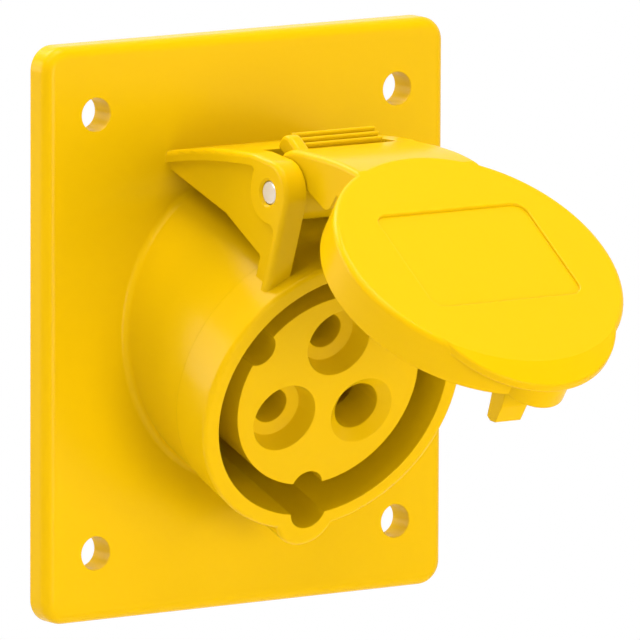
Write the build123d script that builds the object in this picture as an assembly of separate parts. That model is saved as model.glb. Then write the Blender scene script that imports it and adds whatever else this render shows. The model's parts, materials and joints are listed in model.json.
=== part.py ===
from build123d import *
from math import cos, radians, sin, sqrt, tan
import os

# Sloping panel socket for industrial plugs, two poles and earth, with a sprung hinged lid.
# Millimetres. The back of the flange is the plane Y = 0, the socket faces -Y, and Z is up.

# Working lengths: past every side of the part, past a face that is cut, and into a face that is joined
far = 100.0
over = 1.0
weld = 0.5
near = 0.01

# Flange
plate_width = 79.6
plate_height = 96.0
plate_thickness = 4.75
plate_corner_radius = 4.0
plate_front_round = 1.9
hole_spacing_x = 60.0
hole_spacing_z = 73.0
hole_radius = 2.84
back_relief_radius = 32.5
back_relief_height = 1.7
back_relief_depth = 1.0

# Barrel, which leaves the flange tilted downwards
barrel_tilt = 20.0
barrel_reach = 27.2
mouth_outer_radius = 25.05
mouth_inner_radius = 22.24
ring_length = 9.1
ring_rear_radius = 24.8
ring_step = 0.12
barrel_root_radius = 24.0
mouth_round = 0.8
root_round = 1.1
root_edge_shortest = 3.0
root_edge_widest = 60.0
barrel_run_on = 12.0

# Keyway at six o'clock
groove_radius = 3.4
groove_centre = 21.4
groove_stop = 2.5
bump_radius = 5.8
bump_centre = 22.4

# Rear seat that takes the contact insert
seat_depth = 37.0
seat_radius = 23.5
seat_clearance = 0.1
rear_tube_wall = 1.9
rear_tube_length = 4.0
rear_tube_overlap = 12.0
rear_boss_overlap = 4.0
lug_offset = 26.5
lug_radius = 3.2
lug_clearance = 0.25
lug_slot_reach = 6.0
base_thickness = 2.5

# Seal let into the back of the flange
panel_seal_width = 2.6
panel_seal_depth = 1.6
panel_seal_margin = 1.6
panel_seal_corner = 1.4

# Hinge
hinge_rise = 34.7
hinge_setback = 8.0
pin_radius = 2.0
pin_chamfer = 0.25
pin_recess = 0.3
pin_running_gap = 0.06
ear_outer = 16.3
ear_inner = 12.2
ear_boss_radius = 5.4
ear_edge_round = 0.9
rim_boss_radius = 5.05
rim_blend = 1.5
rim_leg_width = 1.6
rim_recess = 1.0
web_thickness = 2.0
roof_thickness = 2.0
roof_root_height = 29.3
roof_crest_height = 32.0
roof_crest_depth = 30.0
roof_middle_depth = 17.5
roof_middle_share = 0.76
roof_overlap = 1.5
pin_hole_chamfer = 0.4
pin_fit_gap = 0.02
roof_notch_setback = 7.5
leg_foot_height = 17.0
leg_foot_width = 5.0
leg_recess_height = 18.0
gusset_line = [(-31.1, 14.9), (-30.8, 15.5), (-21.0, 21.1)]
gusset_root_height = 26.7
boss_side_width = 9.0
boss_front_width = 4.0
soft_edge_drop = 2.0
soft_edge_setback = 2.2

# Contact insert
insert_radius = 17.5
insert_recess = 1.8
key_notch_radius = 3.0
key_notch_centre = 18.1
contact_circle = 8.83
funnel_mouth_radius = 5.98
funnel_foot_radius = 5.05
funnel_depth = 3.7
ledge_depth = 4.4
phase_hole_radius = 3.1
phase_hole_length = 9.4
earth_mouth_radius = 5.92
earth_hole_radius = 4.12
earth_cone_depth = 1.67
earth_hole_end = 8.9
hole_draft = 0.05

# Contact sleeves
phase_bore_radius = 2.55
phase_sleeve_radius = 3.55
earth_bore_radius = 3.55
earth_sleeve_radius = 4.45
sleeve_setback = 1.6
terminal_turn = 15.0
sleeve_front_chamfer = 0.3
sleeve_floor = 4.0
collar_width = 1.65
collar_thickness = 2.0
collar_gap = 0.1
chamber_gap = 0.75
slot_width = 0.8
slot_length = 17.0
spring_length = 3.0
spring_inset = 3.0
spring_wall = 0.8
spring_groove = 0.3
spring_slit = 0.9
terminal_radius = 4.1
terminal_length = 12.5
wire_hole_radius = 1.9
wire_hole_depth = 8.0
terminal_screw_setback = 4.5

# Rear contact holder
holder_radius = 17.0
holder_thickness = 3.0
rib_thickness = 1.6
rib_length = 9.0
rib_inner = 3.4
rib_outer = 16.4
rib_turn = 60.0
holder_hole_gap = 0.2

# Screws
small_screw_radius = 1.45
small_head_radius = 2.6
small_head_height = 1.7
small_screw_grip = 6.5
terminal_screw_radius = 1.9
terminal_head_radius = 2.8
terminal_head_height = 1.8
terminal_screw_inset = 1.0
terminal_screw_lift = 1.0
screw_gap = 0.05
screw_tip_room = 0.5
driver_slot_width = 0.7
driver_slot_depth = 0.8

# Lid, shown open by lid_opening from its seat on the ring
lid_opening = 74.8
lid_radius = 24.95
lid_gap = 0.4
lid_height = 7.0
lid_top_round = 1.0
lid_skirt_wall = 1.55
lid_ledge_width = 1.0
lid_top_thickness = 2.1
lid_seal_height = 2.0
lid_seal_width = 1.95
lid_seal_stand_out = 0.1
panel_width = 29.2
panel_length = 21.8
panel_depth = 0.5
panel_corner = 2.2
panel_shift = 0.9
panel_offset = 0.4
panel_edge_round = 0.2
lip_outline_radius = 18.36
lip_outline_centre = 10.34
lip_slope = 20.0
lip_start_radius = 24.5
lip_thickness = 1.8
lip_round = 0.45
lip_inner_reach = 3.0
lip_outer_reach = 2.0
key_cover_drop = 1.5
hook_half_width = 2.5
hook_front = -17.8
hook_back = -20.6
hook_inside = [(-17.8, 2.5), (-18.3, 0.9), (-19.0, -1.5)]
hook_outside = [(-20.1, -1.6), (-21.3, -0.9), (-21.3, 2.4), (-20.6, 5.0)]
arm_half_width = 12.0
arm_side_wall = 2.0
arm_skin_drop = 2.7
arm_edge_round = 0.9
arm_corner_round = 2.0
arm_crest = [(4.9, 4.2), (3.6, 5.7), (1.3, 7.45), (-3.5, 10.65), (-7.2, 12.9)]
arm_cap_start = -12.4
arm_cap_end = -14.5
arm_cap_foot = 8.6
arm_corner = (-10.4, 4.4)
arm_foot = [(-10.6, 8.6), arm_corner, (-8.6, 4.2), (-4.0, 3.7), (0, 0)]
knuckle_radius = 4.8
spring_gap_half = 4.4
spring_pocket_radius = 4.9
tail_left = 10.3
tail_right = 7.8
tail_start = 3.4
tail_end = 8.9
tail_underside = 2.2
tail_top = 3.9
tail_edge_round = 0.7
cheek_width = 2.7
cheek_top = 5.3
cheek_end_round = 2.2
cheek_edge_round = 0.8
tail_rib_radius = 0.32
tail_rib_height = 0.85
tail_rib_pitch = 1.25
tail_rib_first = 8.45
tail_rib_count = 3

# Lid spring
spring_wire_radius = 0.45
spring_coil_radius = 2.75
spring_pitch = 1.0
spring_turns = 5
spring_leg_length = 9.0

tilt_sin = sin(radians(barrel_tilt))
tilt_cos = cos(radians(barrel_tilt))
mouth_y = -plate_thickness - barrel_reach * tilt_cos
mouth_z = -barrel_reach * tilt_sin

# In the barrel frame X is to the right, Y is up along the mouth and Z points out of the mouth.
barrel = Plane(origin=(0, mouth_y, mouth_z), x_dir=(1, 0, 0), z_dir=(0, -tilt_cos, -tilt_sin))
hinge_point = barrel.from_local_coords(Vector(0, hinge_rise, -hinge_setback))
hinge_y = hinge_point.Y
hinge_z = hinge_point.Z

# The lid frame has its origin on the hinge pin, and matches the barrel frame when the lid is shut.
lid_angle = radians(lid_opening - barrel_tilt)
lid_frame = Plane(origin=(0, hinge_y, hinge_z), x_dir=(1, 0, 0), z_dir=(0, -cos(lid_angle), sin(lid_angle)))
lid_centre = -hinge_rise
lid_bottom = hinge_setback + lid_gap
lid_top = lid_bottom + lid_height

base_back = seat_depth + base_thickness
rear_tube_end = seat_depth + rear_tube_length
collar_front = -base_back + collar_thickness
phase_angles = [90, 210]
earth_angle = 330


def turned(profile):
    """Solid of revolution about the local Z axis from (radius, height) points."""
    outline = Polyline(*[(r, 0, z) for r, z in profile], close=True)
    return revolve(make_face(outline), Axis.Z)


def bar(radius, z_from, z_to, x=0.0, y=0.0):
    """Round bar along the local Z axis between two heights."""
    return Pos(x, y, z_from) * extrude(Circle(radius), amount=z_to - z_from)


def slab(sketch, x_from, x_to):
    """Sketch drawn in Y and Z, made as thick as the span in X."""
    return extrude(Plane.YZ.offset(x_from) * sketch, amount=x_to - x_from)


def block(x_from, x_to, y_from, y_to, z_from, z_to):
    """Box between six limits."""
    size = (x_to - x_from, y_to - y_from, z_to - z_from)
    centre = ((x_from + x_to) / 2, (y_from + y_to) / 2, (z_from + z_to) / 2)
    return Pos(*centre) * Box(*size)


def save(shape, name, colour):
    """Write one piece as its own file."""
    shape.label = name
    shape.color = Color(*colour)
    export_step(shape, "parts/" + name + ".step")


def barrel_radius(depth):
    """Outer radius of the barrel behind its mouth."""
    if depth <= ring_length:
        return mouth_outer_radius + (ring_rear_radius - mouth_outer_radius) * depth / ring_length
    start = ring_rear_radius - ring_step
    share = (depth - ring_length) / (barrel_reach - ring_length)
    return start + (barrel_root_radius - start) * share


def flange_plate():
    """Flat flange with rounded corners and a soft front edge."""
    outline = RectangleRounded(plate_width, plate_height, plate_corner_radius)
    plate = extrude(Plane.XZ * outline, amount=plate_thickness)
    front_edges = plate.faces().sort_by(Axis.Y)[0].edges()
    plate = fillet(front_edges, plate_front_round)
    relief = extrude(Plane.XZ * Circle(back_relief_radius), amount=back_relief_depth)
    return plate - Pos(0, 0, back_relief_height) * relief


def barrel_outside():
    """Tilted barrel with its end ring, and the outside of the keyway."""
    back = rear_tube_end + barrel_run_on
    profile = [
        (0, 0),
        (mouth_outer_radius, 0),
        (ring_rear_radius, -ring_length),
        (ring_rear_radius - ring_step, -ring_length),
        (barrel_radius(back), -back),
        (0, -back),
    ]
    bump = bar(bump_radius, -back, 0, y=-bump_centre)
    solid = turned(profile) + bump
    rim = solid.faces().sort_by(Axis.Z)[-1].edges()
    solid = barrel * fillet(rim, mouth_round)
    front_space = block(-far, far, -far, weld - plate_thickness, -far, far)
    return solid & front_space


def rear_tube():
    """Short tube behind the flange that seats the contact insert."""
    outer = seat_radius + rear_tube_wall
    solid = bar(outer, -rear_tube_end, rear_tube_overlap - barrel_reach)
    solid += bar(bump_radius, -seat_depth, rear_tube_overlap - barrel_reach, y=-bump_centre)
    for side in (-1, 1):
        solid += bar(lug_radius, -seat_depth, rear_boss_overlap - barrel_reach, x=side * lug_offset)
    rear_space = block(-far, far, -plate_thickness / 2, far, -far, far)
    return (barrel * solid) & rear_space


def top_line():
    """Points of the roof's upper line, from the flange to the ears."""
    start = (over - plate_thickness, roof_root_height)
    middle_height = roof_root_height + roof_middle_share * (roof_crest_height - roof_root_height)
    return ThreePointArc(start, (-roof_middle_depth, middle_height), (-roof_crest_depth, roof_crest_height))


def bracket_outline():
    """Side view of one ear with its gusset, in Y and Z."""
    crest = top_line()
    boss_top = (hinge_y, hinge_z + ear_boss_radius)
    leg_front = hinge_setback - ear_boss_radius
    boss_front = barrel.from_local_coords(Vector(0, hinge_rise, -leg_front))
    leg_foot = barrel.from_local_coords(Vector(0, leg_foot_height, -leg_front))
    leg_heel = barrel.from_local_coords(Vector(0, leg_foot_height, -leg_front - leg_foot_width))
    points = [
        boss_top,
        (boss_front.Y, boss_front.Z),
        (leg_foot.Y, leg_foot.Z),
        (leg_heel.Y, leg_heel.Z),
        *gusset_line,
        (over - plate_thickness, gusset_root_height),
    ]
    edges = Curve() + [crest, Line(crest @ 1, boss_top), Polyline(*points), Line(points[-1], crest @ 0)]
    face = make_face(edges.edges())
    corner = Pos(hinge_y, hinge_z) * Circle(ear_boss_radius)
    square = make_face(Polyline(
        (hinge_y, hinge_z),
        boss_top,
        (hinge_y - boss_side_width, boss_top[1] + over),
        (boss_front.Y - boss_front_width, boss_front.Z),
        (boss_front.Y, boss_front.Z),
        close=True,
    ))
    return (face - square) + corner


def recess_outline():
    """Area of the ear's side that lies back from its rim."""
    crest = top_line()
    lowered = Pos(0, -roof_thickness) * crest
    rim_leg = hinge_setback - ear_boss_radius + rim_leg_width
    leg_high = barrel.from_local_coords(Vector(0, hinge_rise, -rim_leg))
    leg_low = barrel.from_local_coords(Vector(0, leg_recess_height, -rim_leg))
    start = lowered @ 0
    end = lowered @ 1
    points = [
        (end.X, end.Y),
        (hinge_y, hinge_z),
        (leg_high.Y, leg_high.Z),
        (leg_low.Y, leg_low.Z),
        (start.X, leg_low.Z),
        (start.X, start.Y),
    ]
    face = make_face((Curve() + [lowered, Polyline(*points)]).edges())
    face -= Pos(hinge_y, hinge_z) * Circle(rim_boss_radius)
    hinge = Vertex(hinge_y, hinge_z, 0)
    corners = face.vertices().sort_by(Axis.Y)
    on_boss = [corner for corner in corners if abs(corner.distance_to(hinge) - rim_boss_radius) < near]
    return fillet(on_boss[0], rim_blend)


def ear(side):
    """One hinge ear: boss, leg, rim and the gusset behind it."""
    outline = bracket_outline()
    inner = min(side * ear_inner, side * ear_outer)
    outer = max(side * ear_inner, side * ear_outer)
    solid = slab(outline, inner, outer)
    outer_face = solid.faces().sort_by(Axis.X)[-1 if side > 0 else 0]
    soft = [
        edge for edge in outer_face.edges()
        if edge.center().Z > hinge_z - soft_edge_drop or edge.center().Y < hinge_y + soft_edge_setback
    ]
    solid = fillet(soft, ear_edge_round)
    pocket = recess_outline()
    web_outer = ear_outer - rim_recess
    web_inner = web_outer - web_thickness
    if side > 0:
        solid -= slab(pocket, web_outer, ear_outer + over)
        solid -= slab(pocket, ear_inner - over, web_inner)
    else:
        solid -= slab(pocket, -ear_outer - over, -web_outer)
        solid -= slab(pocket, -web_inner, over - ear_inner)
    return solid


def roof():
    """Roof between the ears, cut back at the front to let the lid's tail through."""
    crest = top_line()
    lowered = Pos(0, -roof_thickness) * crest
    ends = [Line(crest @ 0, lowered @ 0), Line(crest @ 1, lowered @ 1)]
    face = make_face((Curve() + [crest, lowered] + ends).edges())
    solid = slab(face, -ear_inner - roof_overlap, ear_inner + roof_overlap)
    return solid - block(-ear_inner, ear_inner, -far, hinge_y + roof_notch_setback, -far, far)


def seal_frame():
    """Rounded frame that lies in the flange's back, inside its edge."""
    outer_x = plate_width - 2 * panel_seal_margin
    outer_z = plate_height - 2 * panel_seal_margin
    outer = RectangleRounded(outer_x, outer_z, plate_corner_radius - panel_seal_margin / 2)
    inner_x = outer_x - 2 * panel_seal_width
    inner_z = outer_z - 2 * panel_seal_width
    inner = RectangleRounded(inner_x, inner_z, panel_seal_corner)
    return extrude(Plane.XZ * (outer - inner), amount=panel_seal_depth)


def flange_housing():
    """The yellow moulding: flange, barrel, hinge ears and rear seat."""
    solid = flange_plate() + barrel_outside()
    root = [
        edge for edge in solid.edges()
        if abs(edge.center().Y + plate_thickness) < near
        and edge.bounding_box().size.Y < near
        and edge.bounding_box().size.X < root_edge_widest
        and edge.length > root_edge_shortest
    ]
    solid = fillet(root, root_round)
    solid += rear_tube()
    for side in (-1, 1):
        solid += ear(side)
    solid += roof()

    cavity = bar(mouth_inner_radius, -seat_depth - over, over)
    cavity += bar(seat_radius, -far, -seat_depth)
    cavity += bar(groove_radius, groove_stop - seat_depth, over, y=-groove_centre)
    slot_half = lug_radius + lug_clearance
    for side in (-1, 1):
        slot_end = side * (lug_offset + lug_slot_reach)
        cavity += block(min(0, slot_end), max(0, slot_end), -slot_half, slot_half, -far, -seat_depth)
        hole_end = small_screw_grip + screw_tip_room - seat_depth
        boss_hole = bar(small_screw_radius + screw_gap, -seat_depth - over, hole_end)
        cavity += Pos(side * lug_offset, 0, 0) * boss_hole
    solid -= barrel * cavity

    hole = extrude(Plane.XZ * Circle(hole_radius), amount=plate_thickness + 2 * over)
    for x in (-hole_spacing_x / 2, hole_spacing_x / 2):
        for z in (-hole_spacing_z / 2, hole_spacing_z / 2):
            solid -= Pos(x, over, z) * hole
    solid -= seal_frame()

    pin_hole = Pos(hinge_y, hinge_z) * Circle(pin_radius + pin_fit_gap)
    solid -= slab(pin_hole, -ear_outer - over, ear_outer + over)
    cone_wide = pin_radius + 2 * pin_hole_chamfer
    cone_narrow = pin_radius - pin_hole_chamfer
    chamfer_cone = Cone(cone_wide, cone_narrow, cone_wide - cone_narrow)
    for side in (-1, 1):
        turn = Rot(0, -90 * side, 0)
        cone_centre = side * (ear_outer - pin_hole_chamfer / 2)
        solid -= Pos(cone_centre, hinge_y, hinge_z) * turn * chamfer_cone
    return solid


def contact_place(angle):
    """Centre of a contact in the barrel frame, by its angle from three o'clock."""
    return contact_circle * cos(radians(angle)), contact_circle * sin(radians(angle))


def contact_insert():
    """Yellow plug-shaped moulding with three contact holes and two key notches."""
    face = -insert_recess
    solid = bar(insert_radius, -seat_depth, face)
    solid += bar(seat_radius - seat_clearance, -base_back, -seat_depth)
    for side in (-1, 1):
        lug_x = side * lug_offset
        solid += bar(lug_radius, -base_back, -seat_depth, x=lug_x)
        solid += block(min(0, lug_x), max(0, lug_x), -lug_radius, lug_radius, -base_back, -seat_depth)
        solid -= bar(small_screw_radius + screw_gap, -base_back - over, over - seat_depth, x=lug_x)
    for angle in (-90, 150):
        x = key_notch_centre * cos(radians(angle))
        y = key_notch_centre * sin(radians(angle))
        solid -= bar(key_notch_radius, -seat_depth, face + over, x=x, y=y)

    back = -base_back - over
    phase_chamber = phase_sleeve_radius + chamber_gap
    collar_pocket = phase_sleeve_radius + collar_width + collar_gap
    phase_hole = turned([
        (0, face + over),
        (funnel_mouth_radius, face + over),
        (funnel_mouth_radius, face),
        (funnel_foot_radius, face - funnel_depth),
        (phase_hole_radius, face - ledge_depth),
        (phase_hole_radius - hole_draft, face - phase_hole_length),
        (phase_chamber, face - phase_hole_length),
        (phase_chamber, collar_front),
        (collar_pocket, collar_front),
        (collar_pocket, back),
        (0, back),
    ])
    earth_chamber = earth_sleeve_radius + chamber_gap
    earth_pocket = earth_sleeve_radius + collar_width + collar_gap
    earth_hole = turned([
        (0, face + over),
        (earth_mouth_radius, face + over),
        (earth_mouth_radius, face),
        (earth_hole_radius, face - earth_cone_depth),
        (earth_hole_radius - hole_draft, face - earth_hole_end),
        (earth_chamber, face - earth_hole_end),
        (earth_chamber, collar_front),
        (earth_pocket, collar_front),
        (earth_pocket, back),
        (0, back),
    ])
    for angle in phase_angles:
        solid -= Pos(*contact_place(angle)) * phase_hole
    solid -= Pos(*contact_place(earth_angle)) * earth_hole
    screw_end = small_screw_grip - holder_thickness - base_back
    solid -= bar(small_screw_radius + screw_gap, back, screw_end + screw_tip_room)
    return barrel * solid


def rear_contact_holder():
    """Disc behind the insert that keeps the sleeves in, with walls between the terminals."""
    back = -base_back - holder_thickness
    solid = bar(holder_radius, back, -base_back)
    for angle in phase_angles + [earth_angle]:
        half = rib_thickness / 2
        wall = block(rib_inner, rib_outer, -half, half, back - rib_length, back + weld)
        solid += Rot(0, 0, angle + rib_turn) * wall
    for angle in phase_angles + [earth_angle]:
        x, y = contact_place(angle)
        solid -= bar(terminal_radius + holder_hole_gap, back - over, over - base_back, x=x, y=y)
    solid -= bar(small_screw_radius + screw_gap, back - over, over - base_back)
    return barrel * solid


def contact_sleeve(angle, bore, outer, hole_length):
    """Slotted contact tube with a collar, and a terminal for the wire behind it."""
    front = -insert_recess - hole_length - sleeve_setback
    terminal_back = -base_back - terminal_length
    solid = turned([
        (0, -base_back + sleeve_floor),
        (bore, -base_back + sleeve_floor),
        (bore, front - sleeve_front_chamfer),
        (bore + sleeve_front_chamfer, front),
        (outer, front),
        (outer, front - spring_inset),
        (outer - spring_groove, front - spring_inset),
        (outer - spring_groove, front - spring_inset - spring_length),
        (outer, front - spring_inset - spring_length),
        (outer, collar_front),
        (outer + collar_width, collar_front),
        (outer + collar_width, -base_back),
        (terminal_radius, -base_back),
        (terminal_radius, terminal_back),
        (wire_hole_radius, terminal_back),
        (wire_hole_radius, terminal_back + wire_hole_depth),
        (0, terminal_back + wire_hole_depth),
    ])
    half_slot = slot_width / 2
    solid -= block(-half_slot, half_slot, -outer - over, outer + over, front - slot_length, front + over)
    screw_height = terminal_back + terminal_screw_setback
    screw_hole = bar(terminal_screw_radius + screw_gap, 0, 2 * terminal_radius)
    solid -= Pos(0, 0, screw_height) * Rot(0, 90, 0) * screw_hole
    x, y = contact_place(angle)
    return barrel * Pos(x, y, 0) * Rot(0, 0, angle + terminal_turn) * solid


def sleeve_spring(angle, outer, hole_length):
    """Split steel ring that squeezes the slotted end of a contact sleeve."""
    front = -insert_recess - hole_length - sleeve_setback - spring_inset
    inner = outer - spring_groove + screw_gap
    ring = bar(outer - spring_groove + spring_wall, front - spring_length, front)
    ring -= bar(inner, front - spring_length - over, front + over)
    ring -= block(0, 2 * outer, -spring_slit / 2, spring_slit / 2, front - spring_length - over, front + over)
    x, y = contact_place(angle)
    return barrel * Pos(x, y, 0) * Rot(0, 0, angle + terminal_turn) * ring


def slotted_screw(radius, length, head_radius, head_height):
    """Screw along Z with its head's underside at zero and its shaft upwards."""
    solid = bar(radius, 0, length) + bar(head_radius, -head_height, 0)
    half_slot = driver_slot_width / 2
    slot_end = head_radius + over
    slot_floor = driver_slot_depth - head_height
    return solid - block(-slot_end, slot_end, -half_slot, half_slot, -head_height - over, slot_floor)


def terminal_screw(angle):
    """Wire clamping screw, put in from the outside of the terminal."""
    height = -base_back - terminal_length + terminal_screw_setback
    under_head = terminal_radius + terminal_screw_lift
    screw = slotted_screw(
        terminal_screw_radius,
        under_head - terminal_screw_inset,
        terminal_head_radius,
        terminal_head_height,
    )
    x, y = contact_place(angle)
    turned_in = Pos(under_head, 0, height) * Rot(0, -90, 0) * screw
    return barrel * Pos(x, y, 0) * Rot(0, 0, angle + terminal_turn) * turned_in


def insert_screw(side):
    """Screw through an insert lug into the housing's boss."""
    length = base_thickness + small_screw_grip
    screw = slotted_screw(small_screw_radius, length, small_head_radius, small_head_height)
    return barrel * Pos(side * lug_offset, 0, -base_back) * screw


def holder_screw():
    """Middle screw that holds the rear holder on the insert."""
    screw = slotted_screw(small_screw_radius, small_screw_grip, small_head_radius, small_head_height)
    return barrel * Pos(0, 0, -base_back - holder_thickness) * screw


def hinge_pin():
    """Steel pin through both ears and the lid's knuckles."""
    half = ear_outer - pin_recess
    pin = bar(pin_radius, -half, half)
    pin = chamfer(pin.edges().filter_by(GeomType.CIRCLE), pin_chamfer)
    return Pos(0, hinge_y, hinge_z) * Rot(0, 90, 0) * pin


def lid_spring():
    """Torsion spring round the pin, its long leg lying under the roof."""
    coil_length = spring_pitch * spring_turns
    path = Helix(spring_pitch, coil_length, spring_coil_radius)
    wire = Plane(origin=path @ 0, z_dir=path % 0) * Circle(spring_wire_radius)
    coil = sweep(wire, path=path) + extrude(wire, amount=-spring_leg_length)
    return Pos(-coil_length / 2, hinge_y, hinge_z) * Rot(0, 90, 0) * Rot(0, 0, 180) * coil


def arm_line():
    """Upper line of the lid's arm, from the tail to the cap."""
    return Spline(*arm_crest, (arm_cap_start, lid_top))


def lid_arm():
    """Hollow arm with its two side walls and the knuckles round the pin."""
    crest = arm_line()
    edge = Polyline(
        (arm_cap_start, lid_top),
        (arm_cap_end, lid_top),
        (arm_cap_end, arm_cap_foot),
        *arm_foot,
        (arm_crest[0][0], tail_underside),
        arm_crest[0],
    )
    side = make_face((Curve() + [crest, edge]).edges())
    solid = slab(side, -arm_half_width, arm_half_width)
    upper = solid.edges().filter_by(GeomType.BSPLINE)
    upper = [bend for bend in upper if abs(bend.center().X) > arm_half_width - near]
    solid = fillet(upper, arm_edge_round)
    lowered = Pos(0, -arm_skin_drop) * crest
    start = lowered @ 0
    end = lowered @ 1
    below = Polyline(end, (-far, end.Y), (-far, -far), (far, -far), start)
    hollow = make_face((Curve() + [lowered, below]).edges())
    solid -= slab(hollow, arm_side_wall - arm_half_width, arm_half_width - arm_side_wall)
    corners = [
        bend for bend in solid.edges().filter_by(Axis.X)
        if abs(bend.center().Y - arm_corner[0]) < near
        and abs(bend.center().Z - arm_corner[1]) < near
    ]
    solid = fillet(corners, arm_corner_round)
    solid += slab(Sketch() + Circle(knuckle_radius), -arm_half_width, arm_half_width)
    return solid


def tail_profile(top, end_round):
    """Side view of the tail up to a height, with its end rounded off."""
    face = make_face(Polyline(
        (tail_start, tail_underside),
        (tail_end, tail_underside),
        (tail_end, top),
        (tail_start, top),
        close=True,
    ))
    corner = face.vertices().sort_by(Axis.X)[-2:].sort_by(Axis.Y)[-1]
    return fillet(corner, end_round)


def lid_tail():
    """Thumb tail behind the hinge, with a raised cheek at its left and ribs beside it."""
    cheek_right = cheek_width - tail_left
    cheek = slab(tail_profile(cheek_top, cheek_end_round), -tail_left, cheek_right)
    outline = [
        bend for bend in cheek.edges()
        if abs(bend.center().X - cheek_right + cheek_width / 2) > cheek_width / 2 - near
        and bend.center().Z > tail_underside + near
        and bend.center().Y > tail_start + near
    ]
    cheek = fillet(outline, cheek_edge_round)
    solid = cheek + slab(tail_profile(tail_top, tail_edge_round), cheek_right - over, tail_right)
    rib_centre = tail_top + tail_rib_height - tail_rib_radius
    for index in range(tail_rib_count):
        y = tail_rib_first - index * tail_rib_pitch
        foot = Pos(y, rib_centre - tail_rib_height / 2) * Rectangle(2 * tail_rib_radius, tail_rib_height)
        solid += slab(foot + Pos(y, rib_centre) * Circle(tail_rib_radius), cheek_right - over, tail_right)
    return solid


def lid_cap():
    """Round cap with its sloping lip and the cover for the keyway."""
    cap = bar(lid_radius, lid_bottom, lid_top)
    cap = fillet(cap.edges().filter_by(GeomType.CIRCLE).sort_by(Axis.Z)[-1], lid_top_round)
    slope = tan(radians(lip_slope))
    tip = lip_outline_centre + lip_outline_radius
    inner = lid_radius - lip_inner_reach
    outer = tip + lip_outer_reach
    inner_top = lid_top + (lip_start_radius - inner) * slope
    outer_top = lid_top - (outer - lip_start_radius) * slope
    lip = turned([
        (inner, inner_top - lip_thickness),
        (inner, inner_top),
        (outer, outer_top),
        (outer, outer_top - lip_thickness),
    ])
    lip &= bar(lip_outline_radius, 0, 2 * lid_top, y=-lip_outline_centre)
    rim = [edge for edge in lip.edges() if edge.bounding_box().min.Y < over - tip]
    lip = fillet(rim, lip_round)
    lip &= block(-far, far, -far, 0, 0, lid_top)
    solid = cap + lip
    cover_top = lid_top - lip_thickness / 2 - (bump_centre + bump_radius - lip_start_radius) * slope
    solid += bar(bump_radius, lid_bottom, cover_top, y=-bump_centre)
    return Pos(0, lid_centre, 0) * solid


def lid_hollow():
    """Space inside the cap, with the step that seats the seal."""
    wall_inside = lid_radius - lid_skirt_wall
    seal_top = lid_bottom - lid_seal_stand_out + lid_seal_height
    inside_top = lid_top - lid_top_thickness
    hollow = bar(wall_inside, lid_bottom - over, seal_top)
    hollow += bar(wall_inside - lid_ledge_width, seal_top - over, inside_top)
    cover_inside = bump_radius - lid_skirt_wall
    cover_end = inside_top - key_cover_drop
    hollow += bar(cover_inside, lid_bottom - over, seal_top, y=-bump_centre)
    hollow += bar(cover_inside - lid_ledge_width, seal_top - over, cover_end, y=-bump_centre)
    return Pos(0, lid_centre, 0) * hollow


def latch_hook():
    """Hook inside the lid that a plug's collar locks behind."""
    top = lid_top - lid_top_thickness + weld
    profile = Polyline((hook_front, top), *hook_inside, *hook_outside, (hook_back, top), close=True)
    return Pos(0, lid_centre, 0) * slab(make_face(profile), -hook_half_width, hook_half_width)


def hinged_lid():
    """The yellow lid in one moulding."""
    solid = lid_cap() + lid_arm() + lid_tail()
    solid -= lid_hollow()
    solid += latch_hook()
    knuckle_gap = slab(Sketch() + Circle(spring_pocket_radius), -spring_gap_half, spring_gap_half)
    solid -= knuckle_gap
    pin_space = Sketch() + Circle(pin_radius + pin_running_gap)
    solid -= slab(pin_space, -arm_half_width - over, arm_half_width + over)
    panel = extrude(RectangleRounded(panel_width, panel_length, panel_corner), amount=panel_depth + over)
    solid -= Pos(panel_offset, lid_centre + panel_shift, lid_top - panel_depth) * panel
    rim = [
        bend for bend in solid.edges()
        if abs(bend.bounding_box().min.Z - lid_top) < near
        and abs(bend.bounding_box().max.Z - lid_top) < near
        and abs(bend.center().X - panel_offset) < panel_width / 2 + near
        and abs(bend.center().Y - lid_centre - panel_shift) < panel_length / 2 + near
    ]
    solid = fillet(rim, panel_edge_round)
    return lid_frame * solid


def lid_seal():
    """Rubber ring in the lid that presses on the barrel's mouth."""
    outer_radius = lid_radius - lid_skirt_wall
    outer = Sketch() + Circle(outer_radius) + Pos(0, -bump_centre) * Circle(bump_radius - lid_skirt_wall)
    inner = Sketch() + Circle(outer_radius - lid_seal_width)
    inner += Pos(0, -bump_centre) * Circle(bump_radius - lid_skirt_wall - lid_seal_width)
    ring = extrude(outer - inner, amount=lid_seal_height)
    return lid_frame * Pos(0, lid_centre, lid_bottom - lid_seal_stand_out) * ring


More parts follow.
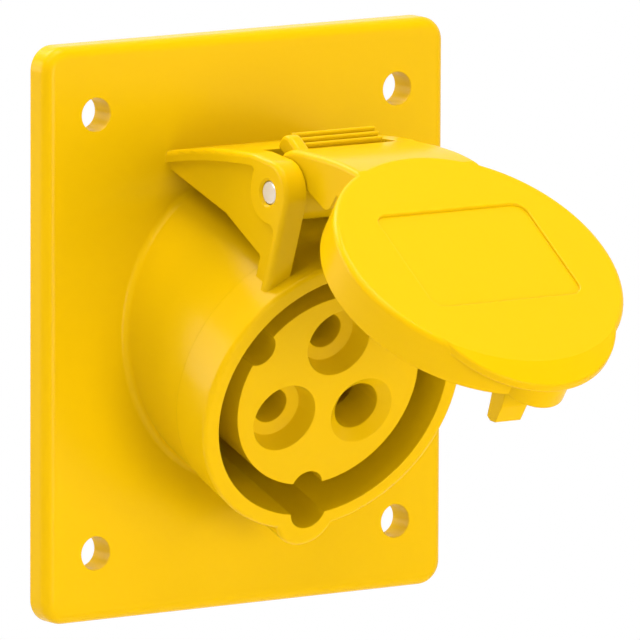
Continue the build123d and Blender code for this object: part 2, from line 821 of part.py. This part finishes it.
def main():
    os.makedirs("parts", exist_ok=True)
    yellow = (1.0, 0.8, 0.05)
    steel = (0.75, 0.75, 0.76)
    brass = (0.83, 0.68, 0.35)
    rubber = (0.08, 0.08, 0.08)
    grey = (0.6, 0.62, 0.63)
    save(flange_housing(), "flange_housing", yellow)
    save(contact_insert(), "contact_insert", yellow)
    save(rear_contact_holder(), "rear_contact_holder", grey)
    contacts = [
        ("top", phase_angles[0], phase_bore_radius, phase_sleeve_radius, phase_hole_length),
        ("left", phase_angles[1], phase_bore_radius, phase_sleeve_radius, phase_hole_length),
        ("earth", earth_angle, earth_bore_radius, earth_sleeve_radius, earth_hole_end),
    ]
    for name, angle, bore, outer, hole_length in contacts:
        save(contact_sleeve(angle, bore, outer, hole_length), name + "_contact_sleeve", brass)
        save(sleeve_spring(angle, outer, hole_length), name + "_sleeve_spring", steel)
        save(terminal_screw(angle), name + "_terminal_screw", steel)
    save(insert_screw(-1), "insert_screw_left", steel)
    save(insert_screw(1), "insert_screw_right", steel)
    save(holder_screw(), "holder_screw", steel)
    save(hinge_pin(), "hinge_pin", steel)
    save(lid_spring(), "lid_spring", steel)
    save(hinged_lid(), "hinged_lid", yellow)
    save(lid_seal(), "lid_seal", rubber)
    save(seal_frame(), "panel_seal", rubber)


main()
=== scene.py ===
# %% [markdown]
# The model comes in as a fixed frame: every solid of the socket is already in its real place, in
# metres, with the back of the flange on the plane Y = 0. This lesson gives those solids their
# moulded plastic, metal and rubber, and films them as the photograph does. Nothing that is added
# may make the socket larger.

import json
from math import cos, radians, sin

import bmesh
import bpy
from mathutils import Matrix, Vector

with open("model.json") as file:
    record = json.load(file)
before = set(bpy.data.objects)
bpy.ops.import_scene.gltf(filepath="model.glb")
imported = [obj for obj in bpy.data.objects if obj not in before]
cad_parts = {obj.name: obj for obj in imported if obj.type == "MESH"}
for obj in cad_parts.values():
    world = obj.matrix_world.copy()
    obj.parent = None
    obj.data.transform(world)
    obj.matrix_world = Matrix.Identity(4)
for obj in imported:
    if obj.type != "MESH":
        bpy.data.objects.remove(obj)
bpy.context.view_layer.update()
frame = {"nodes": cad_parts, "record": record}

# %% [markdown]
# A long lens far away gives the calm perspective of a catalogue picture. The camera's place was
# found by matching the corners and screw holes of the flange, so it is written as a direction
# from the socket, a distance and a slight roll. A longer lens from further off would flatten the
# barrel, and a shorter one would swell the lid.

# %% Camera at the photograph's place
camera_azimuth = radians(34.361)
camera_elevation = radians(8.600)
camera_roll = radians(0.219)
camera_distance = 2.23018
camera_target = Vector((0.000788, -0.0250, 0.002484))
camera_reach = 20.0
focal_pixels = 13553.28
frame_pixels = 640

towards_camera = Vector((
    -sin(camera_azimuth) * cos(camera_elevation),
    -cos(camera_azimuth) * cos(camera_elevation),
    sin(camera_elevation),
))
level_right = Vector((cos(camera_azimuth), -sin(camera_azimuth), 0))
level_up = towards_camera.cross(level_right)
picture_right = cos(camera_roll) * level_right + sin(camera_roll) * level_up
picture_up = cos(camera_roll) * level_up - sin(camera_roll) * level_right

camera_data = bpy.data.cameras.new("photo_camera")
camera_data.sensor_width = 36
camera_data.lens = focal_pixels / frame_pixels * camera_data.sensor_width
camera_data.clip_end = camera_reach
camera = bpy.data.objects.new("photo_camera", camera_data)
turn = Matrix((picture_right, picture_up, towards_camera)).transposed().to_4x4()
camera.matrix_world = Matrix.Translation(camera_target + camera_distance * towards_camera) @ turn
bpy.context.scene.collection.objects.link(camera)
bpy.context.scene.camera = camera
print("lens", round(camera_data.lens, 1), "mm, camera at", [round(v, 3) for v in camera.location])

# %% [markdown]
# Everything that has a surface or gives light is described by nodes. Shader maths is easier to
# read as ordinary sums, so a small class wraps the output of a node: adding or multiplying two
# wrapped values adds the Math node that does it. Every other node is made by one method, which
# takes its type, its settings, and the values or links of its sockets.

# %% Shader maths as expressions


class Value:
    """An output of a node that can be added, subtracted and multiplied."""

    def __init__(self, shading, socket):
        self.shading = shading
        self.socket = socket

    def sum_with(self, operation, first, second):
        return self.shading.node("ShaderNodeMath", {"operation": operation}, {0: first, 1: second})

    def __add__(self, other):
        return self.sum_with("ADD", self, other)

    __radd__ = __add__

    def __sub__(self, other):
        return self.sum_with("SUBTRACT", self, other)

    def __rsub__(self, other):
        return self.sum_with("SUBTRACT", other, self)

    def __mul__(self, other):
        return self.sum_with("MULTIPLY", self, other)

    __rmul__ = __mul__

    def larger(self, other):
        return self.sum_with("MAXIMUM", self, other)


class Shading:
    """The nodes of a world or a material."""

    def __init__(self, tree):
        self.tree = tree

    def node(self, kind, settings=None, values=None, output=0):
        """Adds a node, sets its settings, and then gives its sockets values or links."""
        made = self.tree.nodes.new(kind)
        for key, setting in (settings or {}).items():
            setattr(made, key, setting)
        for key, value in (values or {}).items():
            self.put(made.inputs[key], value)
        return Value(self, made.outputs[output])

    def put(self, socket, value):
        """Links a wrapped value to a socket, or writes a plain one into it."""
        if isinstance(value, Value):
            self.tree.links.new(value.socket, socket)
        else:
            socket.default_value = value

    def ray(self, kind):
        """1 for this kind of ray, such as Is Diffuse Ray, and 0 for the others."""
        return self.node("ShaderNodeLightPath", output=kind)

    def sees_white(self):
        """1 for rays of the camera, of glossy surfaces and of clear ones, 0 for the light's own."""
        mirrored = self.ray("Is Camera Ray").larger(self.ray("Is Glossy Ray"))
        return mirrored.larger(self.ray("Is Transmission Ray"))

    def fade(self, value, start, end, low=0.0, high=1.0):
        """Turns softly from the low number to the high one as the value goes from start to end."""
        limits = {"From Min": start, "From Max": end, "To Min": low, "To Max": high}
        return self.node(
            "ShaderNodeMapRange", {"interpolation_type": "SMOOTHSTEP"}, {"Value": value, **limits}
        )

    def mix(self, factor, first, second):
        """Mixes two shaders."""
        return self.node("ShaderNodeMixShader", values={0: factor, 1: first, 2: second})

    def blend(self, factor, first, second):
        """Mixes two colours."""
        values = {0: factor, 6: first, 7: second}
        return self.node("ShaderNodeMix", {"data_type": "RGBA"}, values, output=2)


class Finish(Shading):
    """A material with its nodes, on one Principled shader."""

    def __init__(self, name):
        self.material = bpy.data.materials.new(name)
        self.material.use_nodes = True
        super().__init__(self.material.node_tree)
        self.shader = self.tree.nodes["Principled BSDF"]

    def set(self, **values):
        """Gives the Principled shader its values: Base_Color means Base Color."""
        for key, value in values.items():
            self.put(self.shader.inputs[key.replace("_", " ")], value)

    def place(self):
        """Position on the piece, in metres."""
        return self.node("ShaderNodeTexCoord", output="Object")

    def noise(self, size, detail=2.0):
        """Soft noise from 0 to 1, with spots of about this size in metres."""
        values = {"Vector": self.place(), "Scale": 1.0 / size, "Detail": detail}
        return self.node("ShaderNodeTexNoise", values=values)

    def uneven(self, middle, spread, size, detail=2.0):
        """Number that wanders round its middle, in spots of about this size in metres."""
        return middle + spread * (self.noise(size, detail) - 0.5)

    def soft_edges(self, radius):
        """Normals that turn round every sharp edge over this radius, as on a moulding."""
        return self.node("ShaderNodeBevel", {"samples": 8}, {"Radius": radius})

    def relief(self, size, depth, detail=2.0, edges=None):
        """Surface relief with grains of this size and of this depth, both in metres."""
        values = {"Height": self.noise(size, detail), "Distance": depth, "Strength": 1.0}
        if edges:
            values["Normal"] = edges
        return self.node("ShaderNodeBump", values=values)


print("classes", Value.__name__, Shading.__name__, Finish.__name__)

# %% [markdown]
# The studio is a white room. The world's light is bright at the sides and fades overhead, so that
# the lamps draw the form and the world only fills the shadows. The camera sees it as pure white,
# and so do glossy and clear surfaces, because a white room shows in metal too.

# %% White world
scene = bpy.context.scene
scene.view_settings.view_transform = "Standard"

white = (1, 1, 1, 1)
side_light = 0.74
overhead_light = 0.03
fade_from_height = 0.15
fade_to_height = 0.6


def studio_world():
    """World that looks white, and whose own light fades overhead."""
    world = bpy.data.worlds.new("white_studio")
    world.use_nodes = True
    world.node_tree.nodes.clear()
    shading = Shading(world.node_tree)
    direction = shading.node("ShaderNodeTexCoord", output="Generated")
    height = shading.node("ShaderNodeSeparateXYZ", values={0: direction}, output="Z")
    strength = shading.fade(height, fade_from_height, fade_to_height, side_light, overhead_light)
    fill = shading.node("ShaderNodeBackground", values={"Color": white, "Strength": strength})
    seen = shading.node("ShaderNodeBackground", values={"Color": white})
    output = shading.tree.nodes.new("ShaderNodeOutputWorld")
    shading.put(output.inputs["Surface"], shading.mix(shading.sees_white(), fill, seen))
    return world


scene.world = studio_world()
print("world", scene.world.name, "with light from", overhead_light, "to", side_light)

# %% [markdown]
# The socket hangs over a sheet of pale paper, as if its panel screws held it. Near the socket the
# paper is lit by the lamps and keeps the socket's shadow. Further out it fades to plain white, so
# that the picture has no horizon, whichever side it is taken from.

# %% Pale floor
floor_height = -0.16
floor_half_width = 3.0
shadow_reach = 0.25
white_reach = 0.6
paper_colour = (0.8, 0.8, 0.8, 1)


def pale_floor():
    """Pale paper floor that keeps the socket's shadow, and fades to plain white further out."""
    mesh = bpy.data.meshes.new("floor")
    shape = bmesh.new()
    bmesh.ops.create_grid(shape, x_segments=1, y_segments=1, size=floor_half_width)
    bmesh.ops.translate(shape, verts=shape.verts, vec=(0, 0, floor_height))
    shape.to_mesh(mesh)
    shape.free()
    floor = bpy.data.objects.new("floor", mesh)
    scene.collection.objects.link(floor)
    paper = Finish("floor_paper")
    paper.set(Base_Color=paper_colour, Roughness=0.9, Specular_IOR_Level=0.0)
    distance = paper.node(
        "ShaderNodeVectorMath", {"operation": "LENGTH"}, {0: paper.place()}, output="Value"
    )
    share = paper.fade(distance, shadow_reach, white_reach) * paper.sees_white()
    lit = Value(paper, paper.shader.outputs[0])
    plain = paper.node("ShaderNodeEmission", values={"Strength": 1.0})
    paper.put(paper.tree.nodes["Material Output"].inputs["Surface"], paper.mix(share, lit, plain))
    mesh.materials.append(paper.material)
    return floor


floor = pale_floor()
print("floor", [round(v, 2) for v in floor.dimensions], "m at height", floor_height)

# %% [markdown]
# Large soft lamps stand round the socket, because a matt moulding shows its shape only by soft
# changes of light. The ones above light the lid's top and the flange, and the low ones keep the
# mouth and the underside of the lid open. One low lamp is hidden from glossy surfaces: seen from
# the camera it would be mirrored in the flange as a pale patch.

# %% Soft lamps
lamp_aim = Vector((0, -0.03, 0))


def soft_lamp(name, place, size, watts, mirrored):
    """Square area lamp that looks at the middle of the socket."""
    data = bpy.data.lights.new(name, "AREA")
    data.shape = "SQUARE"
    data.size = size
    data.energy = watts
    lamp = bpy.data.objects.new(name, data)
    direction = lamp_aim - Vector(place)
    lamp.rotation_euler = direction.to_track_quat("-Z", "Y").to_euler()
    lamp.location = place
    lamp.visible_glossy = mirrored
    scene.collection.objects.link(lamp)


lamps = [
    ("top_lamp", (0.0, -0.15, 1.0), 0.6, 6.9, True),
    ("top_left_lamp", (-0.6, -0.2, 0.8), 0.5, 2.6, True),
    ("top_front_lamp", (-0.1, -0.75, 0.75), 0.5, 0.45, True),
    ("back_top_lamp", (-0.2, 0.6, 0.8), 0.5, 4.6, True),
    ("right_low_lamp", (0.6, -0.8, -0.08), 0.4, 1.5, False),
    ("low_front_lamp", (0.0, -0.85, -0.08), 0.4, 3.1, True),
    ("left_back_lamp", (-0.7, 0.7, 0.2), 0.5, 2.5, True),
]
for lamp_row in lamps:
    soft_lamp(*lamp_row)

# %% [markdown]
# The mouldings are yellow polyamide. Real ones are one colour through and through, with a satin
# skin: a little cloudier where the melt flowed, and with the faint grain of the mould's steel.
# The colour varies by a few percent only, and the grain is a very shallow bump. No mould leaves a
# knife edge, so the Bevel node turns the light round each edge over a quarter of a millimetre.
#
# Yellow surfaces close together colour each other far more in a renderer than they do in the
# photograph. So the light that leaves the plastic for other surfaces has a paler colour, which
# Is Diffuse Ray picks out, while the plastic itself keeps its own.

# %% Moulded plastics
flow_cloud = 0.035
gloss_patch = 0.006
skin_grain = 0.0005
skin_depth = 0.000004
moulded_edge = 0.00025


def moulded_plastic(name, colour, shade, bounce, roughness, gloss):
    """Satin moulded plastic with faint flow clouds, a fine skin and soft edges."""
    finish = Finish(name)
    surface = finish.blend(finish.noise(flow_cloud, detail=3.0), colour, shade)
    finish.set(
        Base_Color=finish.blend(finish.ray("Is Diffuse Ray"), surface, bounce),
        Roughness=finish.uneven(roughness, 0.06, gloss_patch),
        Normal=finish.relief(
            skin_grain, skin_depth, detail=3.0, edges=finish.soft_edges(moulded_edge)
        ),
        Specular_IOR_Level=gloss,
    )
    return finish.material


yellow_bounce = (0.64, 0.55, 0.30, 1)
yellow_plastic = moulded_plastic(
    "yellow_plastic",
    colour=(0.94, 0.545, 0.0005, 1),
    shade=(0.92, 0.532, 0.0005, 1),
    bounce=yellow_bounce,
    roughness=0.22,
    gloss=0.08,
)
insert_plastic = moulded_plastic(
    "insert_plastic",
    colour=(0.93, 0.538, 0.001, 1),
    shade=(0.91, 0.525, 0.001, 1),
    bounce=yellow_bounce,
    roughness=0.26,
    gloss=0.08,
)
holder_plastic = moulded_plastic(
    "holder_plastic",
    colour=(0.42, 0.44, 0.43, 1),
    shade=(0.38, 0.40, 0.39, 1),
    bounce=(0.40, 0.42, 0.41, 1),
    roughness=0.55,
    gloss=0.30,
)
print("plastics", yellow_plastic.name, insert_plastic.name, holder_plastic.name)

# %% [markdown]
# The metal is of three kinds: bright drawn steel for the pin and springs, zinc plated screws, and
# brass for the contacts. Fine turning marks and slight stains keep them from looking like
# mirrors. One recipe serves all three, with a colour, the colour of its stains and a roughness.

# %% Metals
stain_size = 0.003
worn_patch = 0.0015
turning_mark = 0.0002
mark_depth = 0.000003


def worn_metal(name, colour, stain, roughness):
    """Metal with faint stains and fine marks."""
    finish = Finish(name)
    finish.set(
        Base_Color=finish.blend(finish.noise(stain_size, detail=4.0), colour, stain),
        Roughness=finish.uneven(roughness, 0.12, worn_patch, detail=4.0),
        Normal=finish.relief(turning_mark, mark_depth),
        Metallic=1.0,
    )
    return finish.material


pin_steel = worn_metal("pin_steel", (0.72, 0.74, 0.80, 1), (0.62, 0.64, 0.69, 1), 0.30)
screw_steel = worn_metal("screw_steel", (0.62, 0.64, 0.66, 1), (0.50, 0.52, 0.52, 1), 0.34)
contact_metal = worn_metal("contact_metal", (0.74, 0.62, 0.36, 1), (0.60, 0.48, 0.26, 1), 0.30)
print("metals", pin_steel.name, screw_steel.name, contact_metal.name)

# %% [markdown]
# The two seals are black rubber, which is dull and a little powdery. A rough surface with small
# changes of grey shows that better than any pattern would.

# %% Rubber of the seals
rubber_cloud = 0.004
rubber_patch = 0.001
rubber_grain = 0.0004
rubber_depth = 0.00001


def soft_rubber(name, colour, dust, roughness):
    """Dull rubber with a powdery grain."""
    finish = Finish(name)
    finish.set(
        Base_Color=finish.blend(finish.noise(rubber_cloud), colour, dust),
        Roughness=finish.uneven(roughness, 0.1, rubber_patch),
        Normal=finish.relief(rubber_grain, rubber_depth),
    )
    return finish.material


seal_rubber = soft_rubber(
    "seal_rubber", (0.018, 0.018, 0.019, 1), (0.032, 0.032, 0.033, 1), roughness=0.75
)
print("rubber", seal_rubber.name)

# %% [markdown]
# The record says which slot each node takes its finish from, so one loop dresses them all.

# %% Dress every node
finishes = {
    "yellow_plastic": yellow_plastic,
    "insert_plastic": insert_plastic,
    "holder_plastic": holder_plastic,
    "contact_metal": contact_metal,
    "screw_steel": screw_steel,
    "pin_steel": pin_steel,
    "seal_rubber": seal_rubber,
}
node_slots = {entry["node"]: entry["material_slot"] for entry in frame["record"]["subparts"]}
for name, piece in frame["nodes"].items():
    for slot in piece.material_slots:
        slot.material = finishes[node_slots[name]]
    print(name, node_slots[name], len(piece.data.polygons))
